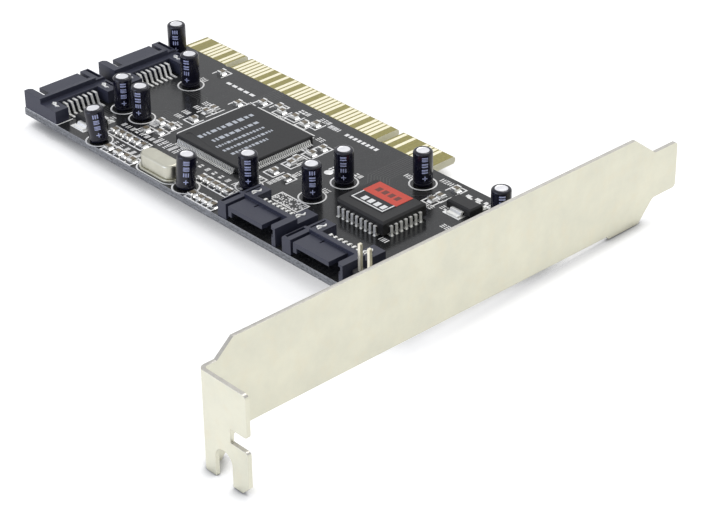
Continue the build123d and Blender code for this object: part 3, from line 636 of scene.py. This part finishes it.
silkShape = {
    "heights": [0.014, 0.0155, 0.017, 0.0185, 0.02, 0.0215], "line": 0.32, "ringWidth": 0.34, "farEdge": 116.2,
    "chipBox": 1.5,
    # lines along the controller's far sides and round the sockets, and the oval round the crystal
    "controller": [[(-14.7, 64.4), (-14.7, 82.3)], [(-16.0, 84.9), (-34.2, 84.9), (-35.6, 83.4)]],
    "outlines": [[(-50.05, 116.1), (-50.05, 105.1), (-46.0, 105.1)], [(-13.9, 103.6), (-13.9, 105.2)]],
    "crystal": (-47.2, 74.2, 2.7, 3.4),
    # the outline round each row of chips: its middle line, its ends and its half width
    "rows": [(-43.0, 84.2, 95.5, 1.55), (-43.0, 57.1, 67.0, 1.55), (-48.5, 80.7, 90.4, 1.5),
             (-48.5, 55.0, 63.2, 1.5)],
    "tickFrom": 0.62,
    # place, turn and number of groups of each mark
    "marks": [
        (-14.7, 100.4, 0, 2), (-23.9, 90.9, 0, 2), (-21.5, 91.0, 0, 2), (-29.2, 90.8, 0, 2),
        (-27.0, 91.0, 0, 2), (-40.2, 99.6, 90, 2), (-9.4, 73.4, 0, 3), (-8.9, 67.5, 0, 3),
        (-9.6, 63.9, 0, 3), (-15.0, 62.2, 0, 2), (-16.6, 52.4, 0, 2), (-19.8, 45.5, 0, 2),
        (-28.5, 45.4, 0, 2), (-33.4, 55.6, 90, 3), (-27.9, 54.4, 90, 3), (-21.3, 51.2, 90, 2),
        (-9.0, 31.4, 0, 3), (-12.7, 38.4, 0, 2), (-18.2, 26.9, 0, 2), (-16.5, 24.3, 0, 2),
        (-12.3, 24.8, 0, 2), (-21.5, 19.1, 0, 2), (-33.4, 23.6, 0, 2), (-9.9, 18.8, 0, 2),
        (-46.6, 98.2, 0, 2), (-35.4, 91.3, 0, 2), (-31.6, 88.1, 0, 2), (-20.2, 60.9, 0, 2),
        (-14.5, 75.2, 0, 2), (-15.0, 84.2, 0, 2),
    ],
    "groupPitch": 1.08,
    # strokes of a group: place along and across the mark, then the stroke's own size
    "strokes": [
        [(-0.33, 0, 0.24, 1.3), (0.05, 0, 0.24, 1.3), (0.36, 0, 0.14, 1.3)],
        [(0, 0.54, 0.84, 0.24), (0, 0, 0.84, 0.24), (0, -0.54, 0.84, 0.24)],
        [(0, 0.42, 0.84, 0.34), (0, -0.34, 0.84, 0.52)],
        [(-0.3, 0, 0.26, 1.3), (0.3, 0, 0.26, 1.3)],
    ],
    # rows of single groups: place along x, first and last y, count
    "markRows": [(-39.8, 95.6, 78.8, 12), (-38.6, 84.9, 78.8, 5), (-39.8, 72.6, 57.8, 8),
                 (-46.1, 90.4, 80.6, 6)],
    # plain dashes: place and size
    "dashes": [
        *[(-11.9, 87.5 + n * 1.9, 0.8, 1.35) for n in range(5)],
        *[(-9.7, 51.2 + n * 1.25, 1.0, 0.8) for n in range(8)],
        (-9.8, 24.4, 0.9, 1.2), (-9.5, 22.0, 0.9, 1.5), (-9.4, 20.1, 0.9, 0.7),
    ],
    "speckled": (-38.3, -35.1, 43.0, 51.0), "speckles": 90, "speckleMargin": 0.2,
}
silk = bmesh.new()
heights = itertools.cycle(silkShape["heights"])  # strokes that cross don't lie in one plane


def silkLine(points, width=silkShape["line"], closed=False):
    ribbon(silk, points, width, 0, next(heights), closed)


def silkBar(center, size, turn=0.0):
    bar(silk, center, size, 0, next(heights), turn)


def silkMark(x, y, turn, count):
    # a run of groups of plain parallel strokes
    spin = Matrix.Rotation(math.radians(turn), 2)
    for n in range(count):
        offset = (n - (count - 1) / 2) * silkShape["groupPitch"]
        for dx, dy, sx, sy in dice.choice(silkShape["strokes"]):
            center = Vector((x, y)) + spin @ Vector((dy, offset + dx))
            silkBar(center, (sy, sx), turn)


for x, y, lean, heading in capacitorShape["places"]:
    radius = capacitorShape["ringRadius"]
    reach = (silkShape["farEdge"] - y) / radius
    gap = math.acos(reach) if reach < 1 else 0.0  # the ring stops where it meets the board's edge
    silkLine(arc((x, y), radius, math.pi / 2 + gap, math.tau - 2 * gap), silkShape["ringWidth"], gap == 0)
for boxLow, boxHigh in chipBoxes:
    middle = (boxLow + boxHigh) / 2
    if middle.x < -40:
        continue  # the rows along the edge share their outlines
    half = silkShape["chipBox"]
    outline = [(-half, -half), (half, -half), (half, half), (-half, half)]
    first = dice.choice((0, 2))
    silkLine([(middle.x + a, middle.y + b) for a, b in outline[first:] + outline[:first]])
for points in silkShape["controller"] + silkShape["outlines"]:
    silkLine(points)
for x, first, last, half in silkShape["rows"]:
    silkLine([(x - half, first), (x + half, first), (x + half, last), (x - half, last)], closed=True)
    for n in range(1, 5):
        y = first + (last - first) * n / 5
        silkLine([(x + half * silkShape["tickFrom"], y), (x + half, y)])
        silkLine([(x - half, y), (x - half * silkShape["tickFrom"], y)])
for x, first, last, count in silkShape["markRows"]:
    for n in range(count):
        silkMark(x, first + (last - first) * n / (count - 1), 0, 1)
for x, y, turn, count in silkShape["marks"]:
    silkMark(x, y, turn, count)
for x, y, sizeX, sizeY in silkShape["dashes"]:
    silkBar((x, y), (sizeX, sizeY))
x, y, radius, half = silkShape["crystal"]
oval = arc((x, y + half), radius, 0, math.pi, 24) + arc((x, y - half), radius, math.pi, math.pi, 24)
silkLine(oval, closed=True)
lowX, highX, lowY, highY = silkShape["speckled"]
silkLine([(lowX, lowY), (highX, lowY), (highX, highY), (lowX, highY)], closed=True)
margin = silkShape["speckleMargin"]
for n in range(silkShape["speckles"]):
    center = (dice.uniform(lowX + margin, highX - margin), dice.uniform(lowY + margin, highY - margin))
    silkBar(center, (dice.uniform(0.2, 0.55), dice.uniform(0.15, 0.4)), dice.uniform(0, 90))
piece("silkscreen", silk, ["whiteInk"])

print("running the tracks")

trackShape = {
    "width": 0.24, "pitch": 0.62, "high": 0.008, "viaRadius": 0.3, "viaHigh": 0.012, "viaStagger": 0.5,
    # side of the board, count, and the run of each bundle's middle
    "bundles": [
        (1, 4, [(-22.0, 84.0), (-22.0, 92.0), (-20.5, 93.5), (-20.5, 103.0)]),
        (1, 4, [(-30.5, 84.0), (-30.5, 94.0), (-38.5, 102.0), (-38.5, 104.5)]),
        (1, 6, [(-7.2, 84.0), (-12.5, 84.0), (-15.2, 81.3)]),
        (1, 7, [(-7.2, 70.5), (-15.3, 70.5)]),
        (1, 8, [(-7.2, 42.5), (-17.0, 42.5), (-23.0, 36.5)]),
        (1, 5, [(-30.0, 61.5), (-30.0, 52.5), (-27.0, 49.5)]),
        (1, 5, [(-16.5, 33.0), (-13.0, 29.5), (-13.0, 20.0)]),
        (1, 4, [(-37.5, 66.0), (-45.0, 66.0)]),
        (-1, 12, [(-7.2, 92.0), (-18.0, 92.0), (-27.0, 83.0), (-40.0, 83.0)]),
        (-1, 10, [(-7.2, 62.0), (-14.0, 62.0), (-20.0, 68.0), (-32.0, 68.0)]),
        (-1, 9, [(-9.5, 48.5), (-20.0, 48.5), (-29.0, 39.5), (-29.0, 22.0)]),
        (-1, 7, [(-10.0, 30.0), (-16.0, 24.0), (-16.0, 9.0)]),
        (-1, 6, [(-34.5, 100.0), (-34.5, 92.0), (-42.0, 84.5)]),
        (-1, 6, [(-37.5, 60.0), (-37.5, 50.0), (-43.5, 44.0), (-43.5, 36.0)]),
        (-1, 5, [(-9.5, 106.0), (-20.0, 106.0), (-26.0, 112.0)]),
        (-1, 4, [(-35.0, 12.0), (-43.0, 12.0), (-46.0, 15.0)]),
    ],
}
tracks = bmesh.new()
for side, count, points in trackShape["bundles"]:
    plane = 0.0 if side > 0 else underside
    for n in range(count):
        path = shifted([Vector(point) for point in points], (n - (count - 1) / 2) * trackShape["pitch"])
        ribbon(tracks, path, trackShape["width"], *sorted((plane, plane + side * trackShape["high"])))
        for k in (0, -1):
            outward = (path[k] - path[1 if k == 0 else -2]).normalized()
            center = path[k] + outward * (trackShape["viaStagger"] if n % 2 else 0.0)
            outline = arc(center, trackShape["viaRadius"], steps=16)
            prism(tracks, outline, *sorted((plane, plane + side * trackShape["viaHigh"])))
piece("copper_tracks", tracks, ["coveredCopper"])

spotShape = {"place": (-23.1, 50.7, 0), "profile": [(0, 0), (0.95, 0), (0.95, 0.03), (0.665, 0.09), (0, 0.13)]}
spot = bmesh.new()
lathe(spot, spotShape["profile"], Matrix.Translation(Vector(spotShape["place"]) * mm), 32)
piece("round_pads", spot, ["solder"], angle=60)

print("marking the controller")

markShape = {
    # rows of plain bars: first x, last x, y, height of the row
    "rows": [(-34.0, -19.4, 78.2, 1.7), (-33.0, -21.6, 74.9, 1.5), (-34.2, -22.0, 72.3, 1.1),
             (-34.2, -21.2, 70.1, 1.1), (-33.9, -24.6, 67.9, 1.1)],
    # shares of the row's height
    "widths": (0.32, 0.5, 0.75), "heights": (0.6, 0.75), "gap": 0.28,
    "sunk": 0.01, "proud": 0.006,
}
marks = bmesh.new()
top = max(high.z for low, high in islands("controller_body"))
for first, last, y, height in markShape["rows"]:
    x = first
    while x < last:
        width = dice.choice(markShape["widths"]) * height
        tall = dice.choice(markShape["heights"]) * height
        bar(marks, (x + width / 2, y), (width, tall), top - markShape["sunk"], top + markShape["proud"])
        x += width + markShape["gap"] * height
piece("controller_marks", marks, ["laserMark"])

print("lighting and camera")

studio = {
    "azimuth": -42.005, "elevation": 30.751, "roll": -0.873, "offset": (-46.50, -6.894, 445.56),
    "focal": 2328.1, "photo": (705, 520), "sensor": 36.0,
    "floor": (0.0393, 0.02913, -5.55), "floorSize": 3000, "floorColor": (0.50, 0.50, 0.50), "floorGlow": 0.74,
    # how far the card darkens the floor, in two steps, and the shelter at which each begins and ends
    "shadeReach": 6.8, "shadeRange": (0.10, 0.72), "contactReach": 3.2, "contactRange": (0.42, 0.92),
    "shade": (0.0, 0.0, 0.0),
    "worldDiffuse": 0.62, "worldColor": (0.97, 0.98, 1.0),
    "aim": (-0.03, 0.06, 0),
    "key": {"from": (0.42, 0.20, 0.80), "size": 0.42, "power": 2.6, "color": (1.0, 0.985, 0.96)},
    "cool": {"from": (-0.60, 0.22, 0.14), "size": 0.4, "power": 1.25, "color": (0.64, 0.72, 1.0)},
}


def lamp(name, look):
    data = bpy.data.lights.new(name, "AREA")
    data.size = look["size"]
    data.energy = look["power"]
    data.color = look["color"]
    made = bpy.data.objects.new(name, data)
    made.location = look["from"]
    made.rotation_euler = (Vector(look["from"]) - Vector(studio["aim"])).to_track_quat("Z", "Y").to_euler()
    bpy.context.scene.collection.objects.link(made)


def seenDirectly(tree):
    # 1 for the camera, mirrors and glass, 0 for the light that falls on things
    seen = addNode(tree, "LightPath", {}, {}, "Is Camera Ray")
    for word in ("Is Glossy Ray", "Is Transmission Ray"):
        seen = seen.maths("MAXIMUM", seen, addNode(tree, "LightPath", {}, {}, word))
    return seen


lamp("key", studio["key"])
lamp("cool", studio["cool"])

world = bpy.data.worlds.new("studio")
bpy.context.scene.world = world
world.use_nodes = True
backdrop = world.node_tree.nodes["Background"]
backdrop.inputs[0].default_value = (*studio["worldColor"], 1)
direct = seenDirectly(world.node_tree)
feed(world.node_tree, backdrop.inputs[1], direct * (1 - studio["worldDiffuse"]) + studio["worldDiffuse"])

floorMesh = bmesh.new()
slopeX, slopeY, level = studio["floor"]
outline = []
for n in range(96):
    angle = math.tau * n / 96
    x, y = studio["floorSize"] * math.cos(angle), studio["floorSize"] * math.sin(angle)
    outline.append(floorMesh.verts.new(Vector((x, y, slopeX * x + slopeY * y + level)) * mm))
floorMesh.faces.new(outline)
floorData = bpy.data.meshes.new("floor")
floorMesh.to_mesh(floorData)
floorMesh.free()
floor = bpy.data.objects.new("floor", floorData)
bpy.context.scene.collection.objects.link(floor)
floorFinish = Finish("palePaper", baseColor=studio["floorColor"], roughness=0.6, specularIORLevel=0.1)


def shelter(step):
    # 0 where the card stands close over the floor, 1 in the open
    reach = studio[step + "Reach"] * mm
    light = floorFinish.node("AmbientOcclusion", {"samples": 8}, {"Distance": reach}, "AO")
    return floorFinish.ramp(light, *studio[step + "Range"])


clear = shelter("shade") * shelter("contact")
floorFinish.wear(emissionColor=floorFinish.blend(clear, studio["shade"], (1, 1, 1)))
floorFinish.wear(emissionStrength=seenDirectly(floorFinish.tree) * studio["floorGlow"])
floorData.materials.append(floorFinish.material)

azimuth, elevation, roll = (math.radians(studio[key]) for key in ("azimuth", "elevation", "roll"))
across = math.cos(elevation)
back = Vector((math.sin(azimuth) * across, -math.cos(azimuth) * across, math.sin(elevation)))
right = Vector((0, 0, 1)).cross(back).normalized()
up = back.cross(right)
right, up = math.cos(roll) * right + math.sin(roll) * up, math.cos(roll) * up - math.sin(roll) * right
shift = studio["offset"]
cameraData = bpy.data.cameras.new("camera")
cameraData.sensor_width = studio["sensor"]
cameraData.sensor_fit = "HORIZONTAL"
cameraData.lens = studio["focal"] * studio["sensor"] / studio["photo"][0]
cameraData.clip_start = 0.01
camera = bpy.data.objects.new("camera", cameraData)
camera.matrix_world = Matrix.Translation((right * shift[0] + up * shift[1] + back * shift[2]) * mm) @ Matrix(
    (right, up, back)
).transposed().to_4x4()
bpy.context.scene.collection.objects.link(camera)
bpy.context.scene.camera = camera
bpy.context.scene.view_settings.view_transform = "Standard"
